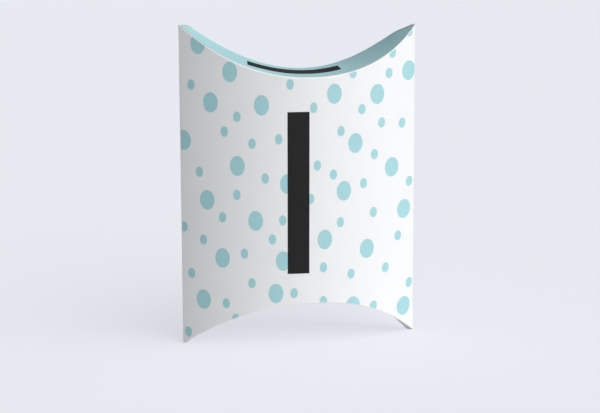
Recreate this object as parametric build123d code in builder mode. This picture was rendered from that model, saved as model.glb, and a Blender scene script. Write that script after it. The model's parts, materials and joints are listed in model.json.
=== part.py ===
# Pillow box folded from one die-cut board sheet, standing upright on its two lower corners
#
# Two bowed panels meet at the side creases, so the box is a lens when seen from above.
# Each end is closed by a pair of curved flaps that dip inward between the corners.
# Origin: centre of the base, where the lower corners touch the ground; +Z up, -Y to the front.

import os
from math import sqrt

from build123d import *

os.makedirs("parts", exist_ok=True)

# Overall size
box_width = 120.0
box_height = 160.0
panel_bulge = 24.0
end_dip = 24.0
corner_land = 4.0
board = 0.5

# Curved end flaps
fold_clearance = 0.4
free_edge_gap = 1.2
flap_layer_gap = 0.3
outer_tip_setback = 4.5
outer_tip_rounding = 1.2
inner_tip_setback = 8.0
inner_tip_rounding = 0.8
inner_reach_past_middle = 6.0

# Glued side seam
glue_thickness = 0.2
seam_width = 15.0
seam_end_setback = 16.0
seam_end_taper = 4.0
glue_margin = 1.5

# Black label on the front and black strip on the top flap
print_thickness = 0.1
label_width = 10.7
label_height = 80.0
label_shift = 5.7
label_drop = 1.0
strip_width = 45.0
strip_depth = 19.0
strip_shift = 3.1
strip_set_back = 3.0

# Derived from the sizes above
half_width = box_width / 2
panel_radius = (half_width**2 + panel_bulge**2) / (2 * panel_bulge)
panel_centre = panel_radius - panel_bulge
panel_inside = panel_radius - board
dip_half_width = half_width - corner_land
dip_radius = (dip_half_width**2 + end_dip**2) / (2 * end_dip)
dip_centre = box_height - end_dip + dip_radius
end_height = 2 * end_dip
outer_fold_gap = board + fold_clearance
inner_drop = board + flap_layer_gap
inner_fold_gap = board + inner_drop + fold_clearance
inner_half_width = half_width - inner_tip_setback
inner_edge_radius = (inner_half_width**2 + inner_reach_past_middle**2) / (2 * inner_reach_past_middle)
seam_start = half_width - seam_width
glue_inside = panel_inside - glue_thickness
seam_inside = glue_inside - board
middle_plane = Plane.XY.offset(box_height / 2)

# Outline of a panel seen from the front: straight sides, ends hollowed between the corners
with BuildSketch(Plane.XZ) as panel_outline:
    with Locations((0, box_height / 2)):
        Rectangle(box_width, box_height)
    with Locations((0, dip_centre), (0, box_height - dip_centre)):
        Circle(dip_radius, mode=Mode.SUBTRACT)

# Front panel: a bowed shell of board from side crease to side crease
with BuildPart() as front_panel:
    with BuildSketch():
        with Locations((0, panel_centre)):
            Circle(panel_radius)
            Circle(panel_inside, mode=Mode.SUBTRACT)
        with Locations((0, -panel_bulge / 2)):
            Rectangle(box_width, panel_bulge, mode=Mode.INTERSECT)
    extrude(amount=box_height)
    extrude(panel_outline.sketch, amount=panel_bulge, both=True, mode=Mode.INTERSECT)
front_panel.part.label = "front_panel"

# Back panel: the same shell bowed the other way
with BuildPart() as back_panel:
    mirror(front_panel.part, about=Plane.XZ)
back_panel.part.label = "back_panel"

# Side glue flap: folded in from the back panel at the right crease, behind the front panel
with BuildPart() as side_glue_flap:
    with BuildSketch():
        with Locations((0, panel_centre)):
            Circle(glue_inside)
            Circle(seam_inside, mode=Mode.SUBTRACT)
        with Locations((0, -panel_centre)):
            Circle(panel_inside, mode=Mode.INTERSECT)
        with Locations((seam_start, 0)):
            Rectangle(box_width, box_width, align=(Align.MIN, Align.CENTER), mode=Mode.INTERSECT)
    extrude(amount=box_height)
    with BuildSketch(Plane.XZ):
        with BuildLine():
            Polyline(
                (half_width, seam_end_setback),
                (half_width, box_height - seam_end_setback),
                (seam_start, box_height - seam_end_setback - seam_end_taper),
                (seam_start, seam_end_setback + seam_end_taper),
                close=True,
            )
        make_face()
    extrude(amount=panel_bulge, both=True, mode=Mode.INTERSECT)
side_glue_flap.part.label = "side_glue_flap"

# Glue line: a thin film between the side flap and the inside of the front panel
with BuildPart() as glue_line:
    with BuildSketch():
        with Locations((0, panel_centre)):
            Circle(panel_inside)
            Circle(glue_inside, mode=Mode.SUBTRACT)
        with Locations((seam_start + glue_margin, 0)):
            Rectangle(
                seam_width - 2 * glue_margin,
                panel_bulge,
                align=(Align.MIN, Align.MAX),
                mode=Mode.INTERSECT,
            )
    extrude(amount=box_height)
    with BuildSketch(Plane.XZ):
        with Locations((half_width, box_height / 2)):
            Rectangle(box_width, box_height - 2 * (seam_end_setback + seam_end_taper + glue_margin))
    extrude(amount=panel_bulge, both=True, mode=Mode.INTERSECT)
glue_line.part.label = "glue_line"

# Top outer flap: hinged on the front panel's curved crease, its free edge just short of the back
with BuildPart() as top_outer_flap:
    with BuildSketch(Plane.XY.offset(box_height - end_height)):
        with Locations((0, panel_centre)):
            Circle(panel_inside - outer_fold_gap)
        with Locations((0, -panel_centre)):
            Circle(panel_inside - free_edge_gap, mode=Mode.INTERSECT)
        Rectangle(2 * (half_width - outer_tip_setback), box_width, mode=Mode.INTERSECT)
    extrude(amount=end_height)
    tip_edges = edges().filter_by(Axis.Z)
    fillet(tip_edges, radius=outer_tip_rounding)
    with BuildSketch(Plane.XZ):
        with Locations((0, dip_centre)):
            Circle(dip_radius + board)
            Circle(dip_radius, mode=Mode.SUBTRACT)
    extrude(amount=panel_bulge, both=True, mode=Mode.INTERSECT)
top_outer_flap.part.label = "top_outer_flap"

# Top inner flap: hinged on the back panel and tucked under the outer flap
with BuildPart() as top_inner_flap:
    with BuildSketch(Plane.XY.offset(box_height - end_height)):
        with Locations((0, -panel_centre)):
            Circle(panel_inside - inner_fold_gap)
        with Locations((0, inner_edge_radius - inner_reach_past_middle)):
            Circle(inner_edge_radius, mode=Mode.INTERSECT)
        Rectangle(2 * inner_half_width, box_width, mode=Mode.INTERSECT)
    extrude(amount=end_height)
    tip_edges = edges().filter_by(Axis.Z)
    fillet(tip_edges, radius=inner_tip_rounding)
    with BuildSketch(Plane.XZ):
        with Locations((0, dip_centre)):
            Circle(dip_radius + inner_drop + board)
            Circle(dip_radius + inner_drop, mode=Mode.SUBTRACT)
    extrude(amount=panel_bulge, both=True, mode=Mode.INTERSECT)
top_inner_flap.part.label = "top_inner_flap"

# Bottom flaps: the same pair at the lower end
with BuildPart() as bottom_outer_flap:
    mirror(top_outer_flap.part, about=middle_plane)
bottom_outer_flap.part.label = "bottom_outer_flap"

with BuildPart() as bottom_inner_flap:
    mirror(top_inner_flap.part, about=middle_plane)
bottom_inner_flap.part.label = "bottom_inner_flap"

# Front label: a narrow upright black panel, left bare
with BuildPart() as front_label:
    with BuildSketch(Plane.XY.offset(box_height / 2 - label_height / 2 - label_drop)):
        with Locations((0, panel_centre)):
            Circle(panel_radius + print_thickness)
            Circle(panel_radius, mode=Mode.SUBTRACT)
        with Locations((-label_shift, -panel_bulge)):
            Rectangle(label_width, panel_bulge, mode=Mode.INTERSECT)
    extrude(amount=label_height)
front_label.part.label = "front_label"

# Top strip: a black band across the middle of the outer flap, left bare
with BuildPart() as top_strip:
    with BuildSketch(Plane.XZ.offset(-strip_set_back)):
        with Locations((0, dip_centre)):
            Circle(dip_radius)
            Circle(dip_radius - print_thickness, mode=Mode.SUBTRACT)
        with Locations((-strip_shift, box_height - end_dip)):
            Rectangle(strip_width, end_height, mode=Mode.INTERSECT)
    extrude(amount=strip_depth / 2, both=True)
top_strip.part.label = "top_strip"

# One file for each piece
export_step(front_panel.part, "parts/front_panel.step")
export_step(back_panel.part, "parts/back_panel.step")
export_step(side_glue_flap.part, "parts/side_glue_flap.step")
export_step(glue_line.part, "parts/glue_line.step")
export_step(top_outer_flap.part, "parts/top_outer_flap.step")
export_step(top_inner_flap.part, "parts/top_inner_flap.step")
export_step(bottom_outer_flap.part, "parts/bottom_outer_flap.step")
export_step(bottom_inner_flap.part, "parts/bottom_inner_flap.step")
export_step(front_label.part, "parts/front_label.step")
export_step(top_strip.part, "parts/top_strip.step")
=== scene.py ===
# Pillow box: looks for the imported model, in metres, in the same frame as the CAD
import json
import math
import random

import bmesh
import bpy
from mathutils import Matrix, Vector


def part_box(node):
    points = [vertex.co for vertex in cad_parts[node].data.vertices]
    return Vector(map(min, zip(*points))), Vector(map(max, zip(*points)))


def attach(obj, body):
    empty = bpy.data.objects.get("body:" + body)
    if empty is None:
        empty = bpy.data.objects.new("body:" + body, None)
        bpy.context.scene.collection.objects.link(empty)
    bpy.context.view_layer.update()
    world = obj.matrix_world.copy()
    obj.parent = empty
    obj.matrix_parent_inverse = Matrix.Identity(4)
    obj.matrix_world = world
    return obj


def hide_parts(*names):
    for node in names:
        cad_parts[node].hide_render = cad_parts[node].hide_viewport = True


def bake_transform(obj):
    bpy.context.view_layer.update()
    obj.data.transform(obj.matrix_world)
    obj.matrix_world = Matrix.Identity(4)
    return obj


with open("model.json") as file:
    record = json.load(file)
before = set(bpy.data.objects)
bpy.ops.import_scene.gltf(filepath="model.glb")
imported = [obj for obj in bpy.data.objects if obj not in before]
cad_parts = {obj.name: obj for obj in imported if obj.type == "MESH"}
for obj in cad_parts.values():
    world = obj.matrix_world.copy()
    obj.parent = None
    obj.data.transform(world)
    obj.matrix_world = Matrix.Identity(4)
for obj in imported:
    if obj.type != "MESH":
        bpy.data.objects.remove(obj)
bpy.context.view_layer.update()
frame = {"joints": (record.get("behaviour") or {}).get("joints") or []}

MM = 0.001

# Sizes read from the frame
panel_low, panel_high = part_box("front_panel")
label_low, label_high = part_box("front_label")
strip_low, strip_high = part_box("top_strip")
top_hinge = next(j for j in frame["joints"] if j["name"] == "top_outer_fold")["pos_m"]

# Room inside the solid's face for the crease bead and the ink on it
FACE_SETBACK = 0.09 * MM

# Driving sizes of the box
HALF_WIDTH = panel_high.x
HEIGHT = panel_high.z
BULGE = -panel_low.y - FACE_SETBACK
END_DIP = HEIGHT - top_hinge[2]

# Board and creases
BOARD = 0.45 * MM
FACE_PLY = 0.06 * MM
PLY_GAP = 0.23 * MM
FRONT_LAND = 0.4 * MM
FRONT_FULLNESS = 2.35
LOWER_LEFT_FULLNESS = 2.2
LOWER_DIP_SHARE = 0.97
BACK_LAND = 3.0 * MM
BACK_LAND_TOP_RIGHT = 1.6 * MM
SIDE_CREASE_RADIUS = 0.8 * MM
END_CREASE_RADIUS = 0.55 * MM
CREASE_LIP = 0.25 * MM
CREASE_BEAD = 0.06 * MM
CREASE_BEAD_HEIGHT = 0.7 * MM
CREASE_BEAD_FADE = 3.0 * MM
CREASE_ROLL_SHARE = 0.45
CREASE_LIP_SHARE = 0.35
ROLL_STEPS = 6
ROLL_POINTS = ROLL_STEPS + 2
BACK_SKEW = 2.0 * MM
BACK_SKEW_LENGTH = 112.0 * MM
BACK_SKEW_START = -10.6 * MM
BACK_LEFT_RISE = 1.8 * MM
BACK_LEFT_RISE_START = 16.0 * MM
BACK_LEFT_RISE_LENGTH = 44.0 * MM
BACK_SOFTNESS = 1.0 * MM
CORNER_DROP = 2.0 * MM
CORNER_DROP_START = 50.0 * MM
CORNER_DROP_LENGTH = 9.0 * MM
MIDDLE_SAG = 0.45 * MM
MIDDLE_SAG_START = -22.0 * MM
MIDDLE_SAG_LENGTH = 18.0 * MM
RIGHT_SAG = 2.2 * MM
RIGHT_SAG_START = 15.0 * MM
RIGHT_SAG_LENGTH = 60.0 * MM
RIGHT_LEAN = 1.1 * MM
LEFT_SPREAD = 0.33 * MM
WAVE_DEPTH = 0.12 * MM
LONG_WAVE_SHARE = 0.34
SHORT_WAVE_SHARE = 0.16

# Two crossing waves each: radians per metre along x and along z, and a phase
LONG_WAVE = ((61, 23, 0.4), (-19, 47, 1.1))
SHORT_WAVE = ((143, -88, 0.0), (57, 121, 2.0))

# Meshes
MERGE_DISTANCE = 0.002 * MM
SHARP_ANGLE = 38.0
ROW_CROWDING = 0.97

# Glued seam
GLUE_DEPTH = 0.6 * MM
SEAM_DEPTH = 0.72 * MM
SEAM_TAPER = 4.0 * MM
SEAM_THICKNESS = {"glue_line": 0.1 * MM, "side_glue_flap": BOARD}

# End flaps
OUTER_TIP_SETBACK = 1.3 * MM
OUTER_TIP_ROUNDING = 0.8 * MM
FREE_EDGE_GAP = 1.3 * MM
FREE_EDGE_FADE = 4.0 * MM
FREE_EDGE_SETTLE = 0.2 * MM
LAYER_GAP = 0.15 * MM
INNER_TIP_SETBACK = 7.0 * MM
INNER_TIP_ROUNDING = 0.8 * MM
INNER_STEP_LENGTH = 1.1 * MM
TIP_PINCH = 0.46
INNER_REACH_PAST_MIDDLE = 6.0 * MM
OUTER_FOLD_RAMP = 43.0 * MM
INNER_FOLD_RAMP = 36.0 * MM

# Print
INK_LIFT = 0.025 * MM
PRINT_EDGE = 2.0 * MM
LABEL_TOP = 0.06 * MM
STRIP_TOP = 0.08 * MM
STRIP_LEFT_MORE = 2.3 * MM
STRIP_RIGHT_MORE = 1.9 * MM
STRIP_FORWARD = 3.0 * MM
STRIP_SKEW = 4.0 * MM
STRIP_BOW = 4.0 * MM
STRIP_LEFT_CUT = 2.5 * MM
STRIP_RIGHT_CUT = 1.6 * MM
STRIP_UNDER = 0.02 * MM
BIG_DOT = (7.15 * MM, 9.8 * MM)
SMALL_DOT = (3.6 * MM, 5.1 * MM)

# Scattered dots on the back: size, how many, and the least distance between two of that size
BACK_DOTS = ((BIG_DOT, 24, 15.0 * MM), (SMALL_DOT, 44, 9.0 * MM))
BACK_DOT_SEED = 7
BACK_DOT_TRIES = 4000

# Share of a back dot's height that may pass a crease, and share of its least distance kept from any dot
BACK_DOT_OVERHANG = 1 / 3
BACK_DOT_CLEARANCE = 1 / 3

# Look of the board
CLOUD_SCALE = 90.0
FIBRE_SCALE = 2600.0
FIBRE_STRETCH = 0.35
DARK_TONE_END = 0.3
LIGHT_TONE_START = 0.75
RELIEF_DEPTH = 0.03 * MM
ROUGHNESS_SPREAD = 0.05

# Surroundings
FLOOR_SIZE = 8.0
FLOOR_COLOUR = (0.88, 0.89, 0.91, 1)
FLOOR_ROUGHNESS = 0.9
FLOOR_SHINE = 0.05
FLOOR_GLOW = (0.885, 0.915, 0.98, 1)
FLOOR_GLOW_SHARE = 0.66
WORLD_SEEN = (0.80, 0.825, 0.875, 1)
WORLD_FELT = (0.93, 0.96, 1.0, 1)

# Camera, found from the corners and creases in the photograph: radians, metres and pixels
PHOTO_WIDTH = 600
PHOTO_HEIGHT = 413
SENSOR = 36.0
FOCAL_PIXELS = 1561.0
CAMERA_TURN = 0.208
CAMERA_TILT = 0.2055
CAMERA_DISTANCE = 0.7677
CAMERA_HEIGHT = 0.2276
CAMERA_PLACE = Vector((
    -CAMERA_DISTANCE * math.sin(CAMERA_TURN),
    -CAMERA_DISTANCE * math.cos(CAMERA_TURN),
    CAMERA_HEIGHT,
))
VIEW_FORWARD = Vector((
    math.sin(CAMERA_TURN) * math.cos(CAMERA_TILT),
    math.cos(CAMERA_TURN) * math.cos(CAMERA_TILT),
    -math.sin(CAMERA_TILT),
))
VIEW_RIGHT = Vector((math.cos(CAMERA_TURN), -math.sin(CAMERA_TURN), 0))
VIEW_UP = VIEW_RIGHT.cross(VIEW_FORWARD)

# Dot centres read in the enlarged photograph, in its pixels from its upper left corner
BIG_DOT_PIXELS = [
    (197.6, 43.8), (229.6, 72), (210.3, 102.3), (261.5, 105.3), (334.5, 93.7), (377.6, 94),
    (409.2, 70.3), (355.6, 143), (392, 166.8), (183.6, 139.8), (237.3, 166), (344.1, 190.8),
    (207.1, 199.8), (287.5, 184), (404, 208.5), (255.6, 220.9), (324.9, 239.5), (367, 248.4),
    (222.5, 257.9), (283.3, 261.1), (203.7, 299), (276, 293.4), (352.9, 305.9), (403.5, 305.4),
]
SMALL_DOT_PIXELS = [
    (190.9, 84.5), (236.8, 116.8), (224.2, 131.5), (252, 143.7), (278.7, 139.3), (290.1, 84.5),
    (313.7, 107.7), (353.1, 73), (389.3, 73), (392.8, 52.6), (410, 31.1), (362.1, 109.2),
    (381.8, 122.4), (402.4, 122.7), (341.1, 131.2), (374.6, 154.2), (317.4, 165.5), (333.5, 174.6),
    (363.7, 183.1), (409.4, 180.9), (199.3, 171.7), (265.2, 178.5), (236.8, 194.9), (310.7, 198.9),
    (373.5, 212), (184.1, 226.3), (222.5, 217.2), (282.8, 220.4), (340.4, 222.1), (397.9, 235.3),
    (203.4, 239.5), (272.5, 239.5), (244.4, 253.7), (191.7, 272.8), (323.5, 267.4), (351.1, 273.6),
    (385.4, 267.2), (251.9, 283.1), (408.9, 282.1), (226.3, 303.2), (294.1, 293.2), (323.5, 301),
    (373.5, 305.4), (188.5, 331.3), (236, 318.6),
]

# Curves that the board follows
PANEL_RADIUS = (HALF_WIDTH**2 + BULGE**2) / (2 * BULGE)
PANEL_CENTRE = PANEL_RADIUS - BULGE
CREASE_X = math.sqrt((PANEL_RADIUS - SIDE_CREASE_RADIUS) ** 2 - PANEL_CENTRE**2)
CREASE_ANGLE = math.atan2(CREASE_X, PANEL_CENTRE)
SIDE_S = PANEL_RADIUS * CREASE_ANGLE


def bulge_at(x):
    """How far the outer face of a panel stands from the middle plane."""
    return max(math.sqrt(PANEL_RADIUS**2 - x * x) - PANEL_CENTRE, 0.0)


def smooth_step(value):
    """A share held between 0 and 1, with a soft start and end."""
    share = min(max(value, 0.0), 1.0)
    return share * share * (3 - 2 * share)


def front_dip_at(x, end):
    """How far the front panel's end creases lie inward of the corners, a little less below."""
    out = min(abs(x) / (HALF_WIDTH - FRONT_LAND), 1.0)
    if end > 0:
        return END_DIP * (1 - out**FRONT_FULLNESS)
    fullness = LOWER_LEFT_FULLNESS if x < 0 else FRONT_FULLNESS
    return END_DIP * LOWER_DIP_SHARE * (1 - out**fullness)


def back_dip_at(x, end):
    """The same for the back panel: flatter by the corners, and at the top a little askew."""
    half = HALF_WIDTH - (BACK_LAND_TOP_RIGHT if x > 0 and end > 0 else BACK_LAND)
    if abs(x) >= half:
        return 0.0
    radius = (half**2 + END_DIP**2) / (2 * END_DIP)
    dip = END_DIP - radius + math.sqrt(radius**2 - x * x)
    if end > 0:
        turn = 2 * math.pi * (x - BACK_SKEW_START) / BACK_SKEW_LENGTH
        dip += BACK_SKEW * math.sin(turn) * (1 - (x / half) ** 6)
        dip -= BACK_LEFT_RISE * smooth_step((-x - BACK_LEFT_RISE_START) / BACK_LEFT_RISE_LENGTH)
        if x < 0:
            dip = (dip + math.hypot(dip, BACK_SOFTNESS)) / 2
    return max(dip, 0.0)


def dip_at(x, side, end):
    """End crease of either panel; side -1 is the front, end 1 the top. The upper right is worn."""
    dip = front_dip_at(x, end) if side < 0 else back_dip_at(x, end)
    if end < 0:
        return dip
    corner = CORNER_DROP * smooth_step((x - CORNER_DROP_START) / CORNER_DROP_LENGTH)
    if side < 0:
        dip += MIDDLE_SAG * smooth_step((x - MIDDLE_SAG_START) / MIDDLE_SAG_LENGTH)
        dip += RIGHT_SAG * smooth_step((x - RIGHT_SAG_START) / RIGHT_SAG_LENGTH)
    else:
        dip += corner
    return max(dip, corner)


def lean_at(x, z):
    """How far the box is off its square shape: its upper right leans inward, its left side outward."""
    share = (x / HALF_WIDTH) ** 2
    return share * (RIGHT_LEAN * z / HEIGHT if x > 0 else LEFT_SPREAD)


def crossed(x, z, waves):
    """Crossing waves multiplied, between -1 and 1."""
    return math.prod(math.sin(x * along_x + z * along_z + phase) for along_x, along_z, phase in waves)


def wave_at(x, z):
    """Slight unevenness of a bent board, always inward and fading out at the side creases."""
    fade = max(1 - (x / HALF_WIDTH) ** 4, 0.0)
    long_part = LONG_WAVE_SHARE * crossed(x, z, LONG_WAVE)
    short_part = SHORT_WAVE_SHARE * crossed(x, z, SHORT_WAVE)
    return WAVE_DEPTH * fade * (0.5 + long_part + short_part)


def finish_mesh(name, vertices, faces, slots, materials):
    """A smooth mesh object, off square as the box is, with one material slot number for each face."""
    mesh = bpy.data.meshes.new(name)
    mesh.from_pydata([(x - lean_at(x, z), y, z) for x, y, z in vertices], [], faces)
    for material in materials:
        mesh.materials.append(material)
    mesh.polygons.foreach_set("material_index", slots)
    mesh.polygons.foreach_set("use_smooth", [True] * len(faces))
    work = bmesh.new()
    work.from_mesh(mesh)
    bmesh.ops.remove_doubles(work, verts=work.verts, dist=MERGE_DISTANCE)
    bmesh.ops.dissolve_degenerate(work, edges=work.edges, dist=MERGE_DISTANCE)
    bmesh.ops.recalc_face_normals(work, faces=work.faces)
    work.to_mesh(mesh)
    work.free()
    mesh.set_sharp_from_angle(angle=math.radians(SHARP_ANGLE))
    thing = bpy.data.objects.new(name, mesh)
    bpy.context.scene.collection.objects.link(thing)
    return thing


def board_sheet(name, outer, inner, materials, slot_of):
    """Closed sheet between two equal grids of points: outer face, inner face and cut edges."""
    rows = len(outer)
    columns = len(outer[0])
    vertices = [p for row in outer for p in row] + [p for row in inner for p in row]
    back = rows * columns
    faces = []
    slots = []
    for i in range(rows - 1):
        for j in range(columns - 1):
            a = i * columns + j
            quad = (a, a + 1, a + columns + 1, a + columns)
            faces.append(quad)
            slots.append(slot_of(i, j))
            faces.append(tuple(back + k for k in reversed(quad)))
            slots.append(1)
    rim = list(range(columns))
    rim += [i * columns + columns - 1 for i in range(1, rows)]
    rim += [(rows - 1) * columns + j for j in range(columns - 2, -1, -1)]
    rim += [i * columns for i in range(rows - 2, 0, -1)]
    for k, a in enumerate(rim):
        b = rim[(k + 1) % len(rim)]
        faces.append((b, a, back + a, back + b))
        slots.append(1)
    return finish_mesh(name, vertices, faces, slots, materials)


def plain_sheet(name, outer, inner, material):
    """A closed sheet of one material."""
    return board_sheet(name, outer, inner, [material, material], lambda i, j: 0)


def new_material(name):
    """An empty node material with its shader and output."""
    material = bpy.data.materials.new(name)
    material.use_nodes = True
    nodes = material.node_tree.nodes
    nodes.clear()
    output = nodes.new("ShaderNodeOutputMaterial")
    shader = nodes.new("ShaderNodeBsdfPrincipled")
    material.node_tree.links.new(shader.outputs["BSDF"], output.inputs["Surface"])
    return material, shader


def add_noise(nodes, scale, detail, roughness):
    """A noise texture node."""
    noise = nodes.new("ShaderNodeTexNoise")
    noise.inputs["Scale"].default_value = scale
    noise.inputs["Detail"].default_value = detail
    noise.inputs["Roughness"].default_value = roughness
    return noise


def board_material(name, light, dark, roughness, fibre=0.12, shine=0.3, mottle=0.5):
    """Printed or plain board: cloudy tone, fine fibres and a faint surface relief."""
    material, shader = new_material(name)
    nodes = material.node_tree.nodes
    links = material.node_tree.links
    place = nodes.new("ShaderNodeTexCoord")
    clouds = add_noise(nodes, CLOUD_SCALE, detail=5.0, roughness=0.6)
    stretch = nodes.new("ShaderNodeMapping")
    stretch.inputs["Scale"].default_value = (1.0, 1.0, FIBRE_STRETCH)
    fibres = add_noise(nodes, FIBRE_SCALE, detail=3.0, roughness=0.5)
    blend = nodes.new("ShaderNodeMath")
    blend.operation = "MULTIPLY_ADD"
    blend.inputs[1].default_value = mottle
    ramp = nodes.new("ShaderNodeValToRGB")
    ramp.color_ramp.elements[0].position = DARK_TONE_END
    ramp.color_ramp.elements[0].color = (*dark, 1)
    ramp.color_ramp.elements[1].position = LIGHT_TONE_START
    ramp.color_ramp.elements[1].color = (*light, 1)
    scale_fibre = nodes.new("ShaderNodeMath")
    scale_fibre.operation = "MULTIPLY"
    scale_fibre.inputs[1].default_value = 1 - mottle
    relief = nodes.new("ShaderNodeBump")
    relief.inputs["Strength"].default_value = fibre
    relief.inputs["Distance"].default_value = RELIEF_DEPTH
    gloss = nodes.new("ShaderNodeMapRange")
    gloss.inputs["To Min"].default_value = roughness - ROUGHNESS_SPREAD
    gloss.inputs["To Max"].default_value = roughness + ROUGHNESS_SPREAD
    links.new(place.outputs["Object"], clouds.inputs["Vector"])
    links.new(place.outputs["Object"], stretch.inputs["Vector"])
    links.new(stretch.outputs["Vector"], fibres.inputs["Vector"])
    links.new(fibres.outputs["Fac"], scale_fibre.inputs[0])
    links.new(clouds.outputs["Fac"], blend.inputs[0])
    links.new(scale_fibre.outputs["Value"], blend.inputs[2])
    links.new(blend.outputs["Value"], ramp.inputs["Fac"])
    links.new(ramp.outputs["Color"], shader.inputs["Base Color"])
    links.new(clouds.outputs["Fac"], gloss.inputs["Value"])
    links.new(gloss.outputs["Result"], shader.inputs["Roughness"])
    links.new(fibres.outputs["Fac"], relief.inputs["Height"])
    links.new(relief.outputs["Normal"], shader.inputs["Normal"])
    shader.inputs["Specular IOR Level"].default_value = shine
    return material


WHITE = board_material(
    "white_coated_board", (0.90, 0.905, 0.91), (0.86, 0.865, 0.87), roughness=0.48,
)
# Rolled end creases: whiter than the board, a painted highlight along the crease lines
CREASE = board_material(
    "crease_white_painted_highlight", (0.96, 0.96, 0.96), (0.92, 0.92, 0.925), roughness=0.6, fibre=0.2, shine=0.2,
)
AQUA = board_material(
    "aqua_print", (0.42, 0.70, 0.74), (0.38, 0.66, 0.70), roughness=0.55, shine=0.1,
)
RAW = board_material(
    "raw_board_edge", (0.84, 0.83, 0.80), (0.72, 0.71, 0.68), roughness=0.75, fibre=0.35,
)
BLACK = board_material(
    "black_print", (0.020, 0.020, 0.021), (0.014, 0.014, 0.015), roughness=0.6, shine=0.12,
)
BAND = board_material(
    "black_band_print", (0.012, 0.012, 0.012), (0.008, 0.008, 0.008), roughness=0.7, shine=0.02,
)
GLUE = board_material(
    "clear_glue", (0.80, 0.77, 0.66), (0.70, 0.67, 0.56), roughness=0.35,
)


def panel_profile():
    """Outer face of the front panel from the left side crease to the right, seen from above."""
    steps = 150
    turn = 7
    points = []
    for k in range(turn):
        angle = CREASE_ANGLE + (math.pi / 2 - CREASE_ANGLE) * (1 - k / turn)
        points.append((-angle, -1))
    for k in range(steps + 1):
        points.append((CREASE_ANGLE * (2 * k / steps - 1), 0))
    for k in range(1, turn + 1):
        angle = CREASE_ANGLE + (math.pi / 2 - CREASE_ANGLE) * k / turn
        points.append((angle, 1))
    profile = []
    for angle, side in points:
        if side:
            x = side * CREASE_X + SIDE_CREASE_RADIUS * math.sin(angle)
            y = -SIDE_CREASE_RADIUS * math.cos(angle)
        else:
            x = PANEL_RADIUS * math.sin(angle)
            y = PANEL_CENTRE - PANEL_RADIUS * math.cos(angle)
        profile.append((x, y, angle))
    return profile


def crease_size(bulge):
    """Radius and lip of the rolled end crease: both shrink where the panel runs out at a corner."""
    return min(END_CREASE_RADIUS, CREASE_ROLL_SHARE * bulge), min(CREASE_LIP, CREASE_LIP_SHARE * bulge)


def end_roll(y, z, bulge, turned):
    """Outer and inner points of the rounded end crease, from the panel's face to the lip."""
    radius, lip = crease_size(bulge)
    outer = []
    for k in range(ROLL_STEPS + 1):
        a = math.pi / 2 * k / ROLL_STEPS
        outer.append((y + radius - radius * math.cos(a), z - turned * (radius - radius * math.sin(a))))
    outer.append((y + radius + lip, z))
    small = max(radius - BOARD, 0.0)
    inset = radius - small
    inner = []
    for k in range(ROLL_STEPS + 1):
        a = math.pi / 2 * k / ROLL_STEPS
        inner.append((
            y + inset + small - small * math.cos(a),
            z - turned * (inset + small - small * math.sin(a)),
        ))
    inner.append((y + radius + lip, z - turned * inset))
    return outer, inner


def row_share(k, rows):
    """Shares of the panel's height, with rows crowded towards both ends."""
    share = k / rows
    return share - ROW_CROWDING * math.sin(2 * math.pi * share) / (2 * math.pi)


def bead_at(x, distance):
    """Slight swelling of the board just inside a pressed end crease, fading out by the corners."""
    share = distance / CREASE_BEAD_HEIGHT
    if not 0 < share < 1:
        return 0.0
    return CREASE_BEAD * math.sin(math.pi * share) * min(bulge_at(x) / CREASE_BEAD_FADE, 1.0)


def make_panel(name, side, roll_slots):
    """A bowed panel with rounded side creases and rolled end creases; side -1 is the front."""
    rows = 96
    outer = []
    inner = []
    for x, y, angle in panel_profile():
        nx = -math.sin(angle)
        ny = math.cos(angle)
        bulge = max(-y, 0.0)
        top = HEIGHT - dip_at(x, side, 1)
        low = dip_at(x, side, -1)
        over_top, under_top = end_roll(y, top, bulge, 1)
        over_low, under_low = end_roll(y, low, bulge, -1)
        column = [(x, py, pz) for py, pz in reversed(over_low)]
        column_in = [(x, py, pz) for py, pz in reversed(under_low)]
        start = over_low[0][1]
        stop = over_top[0][1]
        for k in range(1, rows):
            z = start + (stop - start) * row_share(k, rows)
            wave = wave_at(x, z) * math.sin(math.pi * k / rows)
            sunk = wave - bead_at(x, min(z - start, stop - z))
            column.append((x + nx * sunk, y + ny * sunk, z))
            depth = wave + BOARD
            column_in.append((x + nx * depth, y + ny * depth, z))
        column += [(x, py, pz) for py, pz in over_top]
        column_in += [(x, py, pz) for py, pz in under_top]
        outer.append([(px, -side * py, pz) for px, py, pz in column])
        inner.append([(px, -side * min(py, 0.0), pz) for px, py, pz in column_in])
    last = len(outer[0]) - 1

    def slot_of(i, j):
        """The rolled creases have their own materials, below and above the plain face; the lighter
        crease white is a painted highlight.
        """
        if j < ROLL_POINTS:
            return roll_slots[0]
        return roll_slots[1] if j >= last - ROLL_POINTS else 0

    return board_sheet(name, outer, inner, [WHITE, RAW, CREASE, AQUA], slot_of)


def flap_grid(tip, rounding, near_edge, far_edge, level_of, end):
    """Grid over a flap from tip to tip; near and far edge are functions of x, rounded at the tips."""
    columns = 120
    rows = 60
    grid = []
    for i in range(columns + 1):
        x = tip * math.sin(math.pi / 2 * (2 * i / columns - 1))
        near = near_edge(x)
        far = far_edge(x)
        over = max(abs(x) - (tip - rounding), 0.0)
        inset = rounding - math.sqrt(max(rounding**2 - over**2, 0.0))
        inset = min(inset, TIP_PINCH * abs(far - near))
        step = inset if far > near else -inset
        near += step
        far -= step
        across = [near + (far - near) * j / rows for j in range(rows + 1)]
        grid.append([(x, y, level_of(x, y, end)) for y in across])
    return grid


def thicken(grid, thickness):
    """The grid's inner face: each point goes inward along the dip curve's normal."""
    lower = []
    for i, row in enumerate(grid):
        before = grid[max(i - 1, 0)][0]
        after = grid[min(i + 1, len(grid) - 1)][0]
        slope = (after[2] - before[2]) / (after[0] - before[0])
        length = math.sqrt(1 + slope * slope)
        lower.append([(px + thickness * slope / length, py, pz - thickness / length)
                      for px, py, pz in row])
    return lower


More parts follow.
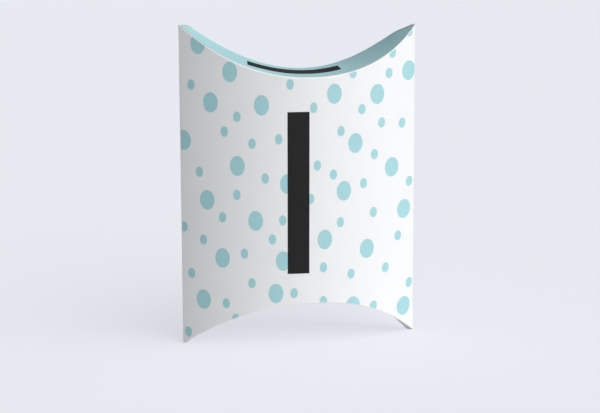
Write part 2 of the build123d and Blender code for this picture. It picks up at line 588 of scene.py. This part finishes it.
def mirrored(grid):
    """The same grid at the other end of the box."""
    return [[(x, y, HEIGHT - z) for x, y, z in row] for row in grid]


def lip_edge(x):
    """Where a panel's rolled crease ends and its flap begins, from the middle plane."""
    bulge = bulge_at(x)
    radius, lip = crease_size(bulge)
    return bulge - radius - lip


def flap_level(x, y, end):
    """Height of the closed end between the front crease and the back crease."""
    bulge = max(bulge_at(x), BOARD)
    share = min(max((y + bulge) / (2 * bulge), 0.0), 1.0)
    return HEIGHT - dip_at(x, -1, end) * (1 - share) - dip_at(x, 1, end) * share


def outer_flap_level(x, y, end):
    """Outer face of the outer flap: level with the crease, its free edge settled a little."""
    reach = max(y + bulge_at(x), 0.0) / (2 * BULGE)
    return flap_level(x, y, end) - FREE_EDGE_SETTLE * reach**3


def inner_flap_level(x, y, end):
    """Outer face of the inner flap: it leaves the back crease and slips under the outer flap."""
    ease = smooth_step((lip_edge(x) - y) / INNER_STEP_LENGTH)
    return flap_level(x, y, end) - ease * (BOARD + LAYER_GAP + FREE_EDGE_SETTLE)


def outer_flap_grid(end):
    """The outer flap's face, from the front crease to just short of the back panel."""
    tip = HALF_WIDTH - OUTER_TIP_SETBACK
    return flap_grid(
        tip,
        OUTER_TIP_ROUNDING,
        lambda x: -lip_edge(x),
        lambda x: bulge_at(x) - BOARD - FREE_EDGE_GAP * min(bulge_at(x) / FREE_EDGE_FADE, 1.0),
        outer_flap_level,
        end,
    )


def inner_flap_grid(end):
    """The inner flap's face, from the back crease to a bowed edge past the middle."""
    tip = HALF_WIDTH - INNER_TIP_SETBACK
    radius = (tip**2 + INNER_REACH_PAST_MIDDLE**2) / (2 * INNER_REACH_PAST_MIDDLE)
    return flap_grid(
        tip,
        INNER_TIP_ROUNDING,
        lip_edge,
        lambda x: radius - INNER_REACH_PAST_MIDDLE - math.sqrt(radius**2 - x * x),
        inner_flap_level,
        end,
    )


def make_flap(name, grid, node, end, towards):
    """A flap of two plies in place of its CAD node: a printed face and a raw back."""
    face_under = thicken(grid, FACE_PLY)
    back_top = thicken(grid, FACE_PLY + PLY_GAP)
    back_under = thicken(grid, BOARD)
    sheets = [grid, face_under, back_top, back_under]
    if end < 0:
        sheets = [mirrored(sheet) for sheet in sheets]
    colour = AQUA if end > 0 else WHITE
    face = plain_sheet(name + "_face", sheets[0], sheets[1], colour)
    back = plain_sheet(name + "_back", sheets[2], sheets[3], RAW)
    for ply, depth in ((face, 0.0), (back, BOARD)):
        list(ramp_ends(end, towards, depth))
        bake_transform(ply)
    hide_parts(node)


def ramp_ends(end, towards, depth):
    """Where a ply's bend starts and stops: its edge along the curved crease lies in the start plane."""
    level = HEIGHT - END_DIP - depth if end > 0 else END_DIP + depth
    ramp = OUTER_FOLD_RAMP if towards > 0 else INNER_FOLD_RAMP
    start = Vector((0, -towards * BULGE, level))
    # The planes slant at 45 degrees, so half a ramp along each axis is a whole one across the flap
    stop = start + Vector((0, towards, -end)) * ramp / 2
    return start, stop


def strip_grid(low, high, level_of, lift):
    """Grid of a printed band on a flap: it lies askew, with a bowed rear edge and slanting ends."""
    columns = 60
    rows = 24
    left = low.x - STRIP_LEFT_MORE
    width = high.x + STRIP_RIGHT_MORE - left
    grid = []
    for i in range(columns + 1):
        along = i / columns
        across = left + width * along
        depth = high.y - low.y - STRIP_BOW * (2 * along - 1) ** 2
        fore = low.y - STRIP_FORWARD + STRIP_SKEW * along
        row = []
        for j in range(rows + 1):
            share = j / rows
            x = across + STRIP_LEFT_CUT * share * (1 - along) - STRIP_RIGHT_CUT * (1 - share) * along
            y = fore + depth * share
            row.append((x, y, level_of(x, y, 1) + lift))
        grid.append(row)
    return grid


def on_panel(s, z, side, lift):
    """Point on a panel's printed face, s along the board from its middle; side -1 is the front."""
    angle = s / PANEL_RADIUS
    x = PANEL_RADIUS * math.sin(angle)
    y = PANEL_CENTRE - PANEL_RADIUS * math.cos(angle)
    low = dip_at(x, side, -1) + END_CREASE_RADIUS
    high = HEIGHT - dip_at(x, side, 1) - END_CREASE_RADIUS
    z = min(max(z, low), high)
    wave = wave_at(x, z) * math.sin(math.pi * (z - low) / (high - low)) - lift
    if min(z - low, high - z) < PRINT_EDGE:
        wave -= CREASE_BEAD
    x -= math.sin(angle) * wave
    y += math.cos(angle) * wave
    return (x, -side * y, z)


def stretch_at(s, side):
    """How much wider than in the middle a dot is printed, so that it keeps its look at the sides."""
    turn = abs(s / PANEL_RADIUS + (CAMERA_TURN if side < 0 else 0))
    return 1 / math.cos(min(turn, CREASE_ANGLE + CAMERA_TURN))


def draped_dot(s, z, size, side, vertices, faces):
    """One printed dot: rings of points draped on the panel and held within its creases."""
    rings = 4
    sectors = 44
    base = len(vertices)
    reach = size[0] / 2 * stretch_at(s, side)
    for ring in range(1, rings + 1):
        for k in range(sectors):
            a = 2 * math.pi * k / sectors
            ds = s + reach * math.cos(a) * ring / rings
            ds = min(max(ds, -SIDE_S), SIDE_S)
            dz = z + size[1] / 2 * math.sin(a) * ring / rings
            vertices.append(on_panel(ds, dz, side, INK_LIFT))
    centre = len(vertices)
    vertices.append(on_panel(min(max(s, -SIDE_S), SIDE_S), z, side, INK_LIFT))
    for k in range(sectors):
        n = (k + 1) % sectors
        faces.append((centre, base + k, base + n))
        for ring in range(rings - 1):
            a = base + ring * sectors
            faces.append((a + k, a + sectors + k, a + sectors + n, a + n))


def make_dots(name, dots, side):
    """All printed dots of one panel as one thin skin."""
    vertices = []
    faces = []
    for s, z, size in dots:
        if abs(s) < SIDE_S + size[0] / 2 * stretch_at(s, side):
            draped_dot(s, z, size, side, vertices, faces)
    skin = finish_mesh(name, vertices, faces, [0] * len(faces), [AQUA])
    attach(skin, "sleeve")


def pixel_on_front(px, py):
    """Flat place (s, z) on the front panel that the photograph shows at a pixel."""
    ray = VIEW_FORWARD * FOCAL_PIXELS
    ray += VIEW_RIGHT * (px - PHOTO_WIDTH / 2)
    ray -= VIEW_UP * (py - PHOTO_HEIGHT / 2)
    a = ray.x**2 + ray.y**2
    b = 2 * (CAMERA_PLACE.x * ray.x + (CAMERA_PLACE.y - PANEL_CENTRE) * ray.y)
    c = CAMERA_PLACE.x**2 + (CAMERA_PLACE.y - PANEL_CENTRE) ** 2 - PANEL_RADIUS**2
    t = (-b - math.sqrt(max(b * b - 4 * a * c, 0.0))) / (2 * a)
    hit = CAMERA_PLACE + ray * t
    x = hit.x + lean_at(hit.x, hit.z)
    return PANEL_RADIUS * math.asin(x / PANEL_RADIUS), hit.z


def front_dots():
    """Dots where the photograph has them."""
    dots = [(*pixel_on_front(*p), BIG_DOT) for p in BIG_DOT_PIXELS]
    dots += [(*pixel_on_front(*p), SMALL_DOT) for p in SMALL_DOT_PIXELS]
    return dots


def has_room(s, z, size, space, dots):
    """Whether a dot keeps clear of all others and its full distance from those of its own size."""
    for other_s, other_z, other_size in dots:
        apart = math.hypot(s - other_s, z - other_z)
        if other_size is size and apart <= space:
            return False
        if apart <= (size[0] + other_size[0]) / 2 + space * BACK_DOT_CLEARANCE:
            return False
    return True


def back_dots(front):
    """The back can't be seen: dots that cross a side crease go on, and the rest are scattered."""
    dots = []
    for s, z, size in front:
        if abs(s) > SIDE_S - size[0] / 2 * stretch_at(s, -1):
            dots.append((math.copysign(2 * SIDE_S - abs(s), s), z, size))
    pick = random.Random(BACK_DOT_SEED)
    for size, count, space in BACK_DOTS:
        tries = 0
        while count and tries < BACK_DOT_TRIES:
            tries += 1
            s = pick.uniform(-SIDE_S, SIDE_S)
            z = pick.uniform(0, HEIGHT)
            x = PANEL_RADIUS * math.sin(s / PANEL_RADIUS)
            low = dip_at(x, 1, -1) - size[1] * BACK_DOT_OVERHANG
            high = HEIGHT - dip_at(x, 1, 1) + size[1] * BACK_DOT_OVERHANG
            if low < z < high and has_room(s, z, size, space, dots):
                dots.append((s, z, size))
                count -= 1
    return dots


def make_label():
    """Bare black label draped on the front panel."""
    middle = (label_low.x + label_high.x) / 2
    half = (label_high.x - label_low.x) / 2
    centre_s = PANEL_RADIUS * math.asin(middle / PANEL_RADIUS)
    columns = 12
    rows = 60
    outer = []
    inner = []
    for i in range(columns + 1):
        s = centre_s + half * (2 * i / columns - 1)
        line = []
        line_in = []
        for j in range(rows + 1):
            z = label_low.z + (label_high.z - label_low.z) * j / rows
            line.append(on_panel(s, z, -1, LABEL_TOP))
            line_in.append(on_panel(s, z, -1, 0.0))
        outer.append(line)
        inner.append(line_in)
    label = plain_sheet("front_label_print", outer, inner, BLACK)
    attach(label, "sleeve")
    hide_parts("front_label")


def seam_sheet(name, node, depth, taper, material):
    """A sheet behind the front panel, with slanting ends if it has a taper, in place of its CAD node."""
    low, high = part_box(node)
    radius = PANEL_RADIUS - depth
    columns = 24
    rows = 60
    outer = []
    inner = []
    for i in range(columns + 1):
        x = low.x + (high.x - low.x) * i / columns
        cut = taper * (1 - i / columns)
        line = []
        line_in = []
        for j in range(rows + 1):
            z = low.z + cut + (high.z - low.z - 2 * cut) * j / rows
            y = PANEL_CENTRE - math.sqrt(radius**2 - x * x)
            y_in = PANEL_CENTRE - math.sqrt((radius - SEAM_THICKNESS[node]) ** 2 - x * x)
            line.append((x, min(y, 0.0), z))
            line_in.append((x, min(y_in, 0.0), z))
        outer.append(line)
        inner.append(line_in)
    sheet = plain_sheet(name, outer, inner, material)
    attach(sheet, "sleeve")
    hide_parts(node)


# Sleeve: both panels with their dots and the black label
front = make_panel("front_panel_board", -1, (2, 2))
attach(front, "sleeve")
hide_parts("front_panel")

back = make_panel("back_panel_board", 1, (2, 3))
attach(back, "sleeve")
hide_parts("back_panel")

printed = front_dots()
make_dots("front_dots", printed, -1)
make_dots("back_dots", back_dots(printed), 1)
make_label()

# End flaps: the outer one of each pair starts at the front crease, the inner one at the back
make_flap("top_outer_flap_board", outer_flap_grid(1), "top_outer_flap", 1, 1)
make_flap("top_inner_flap_board", inner_flap_grid(1), "top_inner_flap", 1, -1)
make_flap("bottom_outer_flap_board", outer_flap_grid(-1), "bottom_outer_flap", -1, 1)
make_flap("bottom_inner_flap_board", inner_flap_grid(-1), "bottom_inner_flap", -1, -1)

# Black strip on the top flap
strip_top = strip_grid(strip_low, strip_high, outer_flap_level, STRIP_TOP)
strip_under = strip_grid(strip_low, strip_high, outer_flap_level, STRIP_UNDER)
strip = plain_sheet("top_strip_print", strip_top, strip_under, BAND)
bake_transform(strip)
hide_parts("top_strip")

# Glued side seam behind the front panel
seam_sheet("glue_film", "glue_line", GLUE_DEPTH, 0.0, GLUE)
seam_sheet("side_glue_flap_board", "side_glue_flap", SEAM_DEPTH, SEAM_TAPER, WHITE)


def background_rays(nodes, links):
    """Socket that is 1 for rays that show the background: direct, in gloss or through glass."""
    rays = nodes.new("ShaderNodeLightPath")
    seen = rays.outputs["Is Camera Ray"]
    for kind in ("Is Glossy Ray", "Is Transmission Ray"):
        either = nodes.new("ShaderNodeMath")
        either.operation = "MAXIMUM"
        links.new(seen, either.inputs[0])
        links.new(rays.outputs[kind], either.inputs[1])
        seen = either.outputs["Value"]
    return seen


def floor_material():
    """Pale floor: background rays see part of its colour flat, so it is even but keeps shadows."""
    material, shader = new_material("pale_floor")
    nodes = material.node_tree.nodes
    links = material.node_tree.links
    shader.inputs["Base Color"].default_value = FLOOR_COLOUR
    shader.inputs["Roughness"].default_value = FLOOR_ROUGHNESS
    shader.inputs["Specular IOR Level"].default_value = FLOOR_SHINE
    glow = nodes.new("ShaderNodeEmission")
    glow.inputs["Color"].default_value = FLOOR_GLOW
    share = nodes.new("ShaderNodeMath")
    share.operation = "MULTIPLY"
    share.inputs[1].default_value = FLOOR_GLOW_SHARE
    mix = nodes.new("ShaderNodeMixShader")
    output = next(n for n in nodes if n.type == "OUTPUT_MATERIAL")
    links.new(background_rays(nodes, links), share.inputs[0])
    links.new(share.outputs["Value"], mix.inputs["Fac"])
    links.new(shader.outputs["BSDF"], mix.inputs[1])
    links.new(glow.outputs["Emission"], mix.inputs[2])
    links.new(mix.outputs["Shader"], output.inputs["Surface"])
    return material


def make_floor():
    """A wide plain floor."""
    size = FLOOR_SIZE
    mesh = bpy.data.meshes.new("floor")
    corners = [(-size, -size, 0), (size, -size, 0), (size, size, 0), (-size, size, 0)]
    mesh.from_pydata(corners, [], [(0, 1, 2, 3)])
    mesh.materials.append(floor_material())
    floor = bpy.data.objects.new("floor", mesh)
    bpy.context.scene.collection.objects.link(floor)


def soft_light(name, azimuth, elevation, spread, strength, colour):
    """A wide, even sun; the azimuth is counted from the front to the right."""
    lamp = bpy.data.lights.new(name, "SUN")
    lamp.angle = math.radians(spread)
    lamp.energy = strength
    lamp.color = colour
    holder = bpy.data.objects.new(name, lamp)
    towards = light_direction(azimuth, elevation)
    holder.location = towards
    holder.rotation_euler = (-towards).to_track_quat("-Z", "Y").to_euler()
    bpy.context.scene.collection.objects.link(holder)


def light_direction(azimuth, elevation):
    """Unit vector towards a light; the azimuth is counted from the front to the right."""
    level = math.cos(math.radians(elevation))
    return Vector((
        level * math.sin(math.radians(azimuth)),
        -level * math.cos(math.radians(azimuth)),
        math.sin(math.radians(elevation)),
    ))


def set_world(azimuth, elevation, base, slant):
    """Pale surroundings, brighter towards one side; background rays see them plain and even."""
    world = bpy.data.worlds.new("pale_studio")
    world.use_nodes = True
    bpy.context.scene.world = world
    nodes = world.node_tree.nodes
    links = world.node_tree.links
    nodes.clear()
    output = nodes.new("ShaderNodeOutputWorld")
    seen = nodes.new("ShaderNodeBackground")
    seen.inputs["Color"].default_value = WORLD_SEEN
    felt = nodes.new("ShaderNodeBackground")
    felt.inputs["Color"].default_value = WORLD_FELT
    place = nodes.new("ShaderNodeTexCoord")
    along = nodes.new("ShaderNodeVectorMath")
    along.operation = "DOT_PRODUCT"
    along.inputs[1].default_value = light_direction(azimuth, elevation)
    strength = nodes.new("ShaderNodeMath")
    strength.operation = "MULTIPLY_ADD"
    strength.inputs[1].default_value = slant
    strength.inputs[2].default_value = base
    links.new(place.outputs["Generated"], along.inputs[0])
    links.new(along.outputs["Value"], strength.inputs[0])
    links.new(strength.outputs["Value"], felt.inputs["Strength"])
    mix = nodes.new("ShaderNodeMixShader")
    links.new(background_rays(nodes, links), mix.inputs["Fac"])
    links.new(felt.outputs["Background"], mix.inputs[1])
    links.new(seen.outputs["Background"], mix.inputs[2])
    links.new(mix.outputs["Shader"], output.inputs["Surface"])


def set_camera():
    """The photograph's view."""
    lens = bpy.data.cameras.new("photo_view")
    lens.sensor_width = SENSOR
    lens.lens = SENSOR * FOCAL_PIXELS / PHOTO_WIDTH
    lens.clip_start = 0.01
    lens.clip_end = 50
    camera = bpy.data.objects.new("photo_view", lens)
    camera.location = CAMERA_PLACE
    camera.rotation_euler = VIEW_FORWARD.to_track_quat("-Z", "Y").to_euler()
    bpy.context.scene.collection.objects.link(camera)
    bpy.context.scene.camera = camera


make_floor()
set_world(azimuth=75.0, elevation=-10.0, base=0.27, slant=0.27)
set_camera()
soft_light(
    "key_right", azimuth=40.0, elevation=37.0, spread=70.0, strength=2.34, colour=(1.0, 0.99, 0.975),
)
soft_light(
    "fill_behind", azimuth=195.0, elevation=4.0, spread=60.0, strength=0.6, colour=(0.98, 0.99, 1.0),
)
bpy.context.scene.view_settings.view_transform = "Standard"
